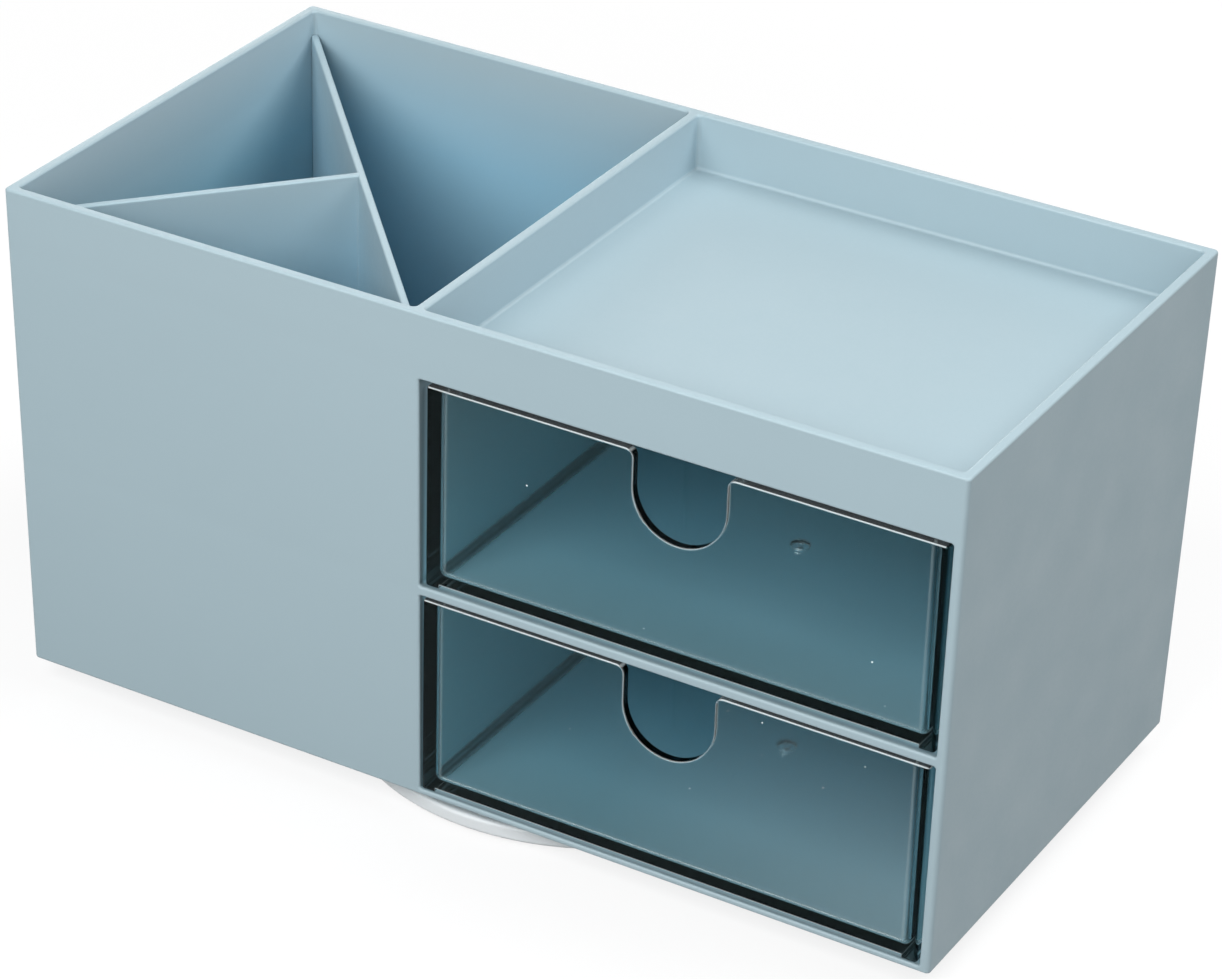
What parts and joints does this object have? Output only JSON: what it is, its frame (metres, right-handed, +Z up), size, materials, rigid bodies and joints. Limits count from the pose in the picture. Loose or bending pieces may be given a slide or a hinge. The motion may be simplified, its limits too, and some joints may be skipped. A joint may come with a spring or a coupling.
{
  "type": "desktop organiser with drawers",
  "caption": "Moulded desktop organiser with a deep divided bin, a shallow top tray and stacked see-through drawers with finger notches, on a round swivel base.",
  "frame": {"origin": "middle of the swivel base, on the surface that the part stands on", "axes": "+X to the right as seen from the drawer side, +Y to the back, +Z up"},
  "size_m": [0.2, 0.1022, 0.1082],
  "materials": {
    "housing_plastic": "light blue-grey moulded plastic, fine matte texture",
    "drawer_plastic": "see-through smoke-teal plastic, polished",
    "base_plastic": "pale grey moulded plastic, satin",
    "cage_plastic": "natural nylon",
    "steel": "plain bright steel",
    "foot_rubber": "matte soft rubber"
  },
  "bodies": {
    "base": {"swivel_base": "base_plastic", "foot_ring": "foot_rubber"},
    "cage": {"ball_cage": "cage_plastic", "bearing_balls": "steel"},
    "housing": {"body_shell": "housing_plastic", "swivel_plate": "base_plastic", "plate_screws": "steel", "pivot_washer": "steel", "pivot_screw": "steel"},
    "upper_drawer": {"drawer_upper": "drawer_plastic"},
    "lower_drawer": {"drawer_lower": "drawer_plastic"},
    "divider": {"bin_divider": "housing_plastic"}
  },
  "joints": [
    {"name": "swivel", "type": "hinge", "parent": "base", "child": "housing", "pos_m": [0, 0, 0.0032], "axis": [0, 0, 1], "continuous": true},
    {"name": "cage_turn", "type": "hinge", "parent": "base", "child": "cage", "pos_m": [0, 0, 0.00375], "axis": [0, 0, 1], "continuous": true},
    {"name": "upper_drawer_slide", "type": "slide", "parent": "housing", "child": "upper_drawer", "axis": [0, -1, 0], "range_m": [0, 0.08]},
    {"name": "lower_drawer_slide", "type": "slide", "parent": "housing", "child": "lower_drawer", "axis": [0, -1, 0], "range_m": [0, 0.08]},
    {"name": "divider_lift", "type": "slide", "parent": "housing", "child": "divider", "axis": [0, 0, 1], "range_m": [0, 0.1]}
  ],
  "couplings": [
    {"joint": "cage_turn", "follows": "swivel", "ratio": 0.5}
  ]
}
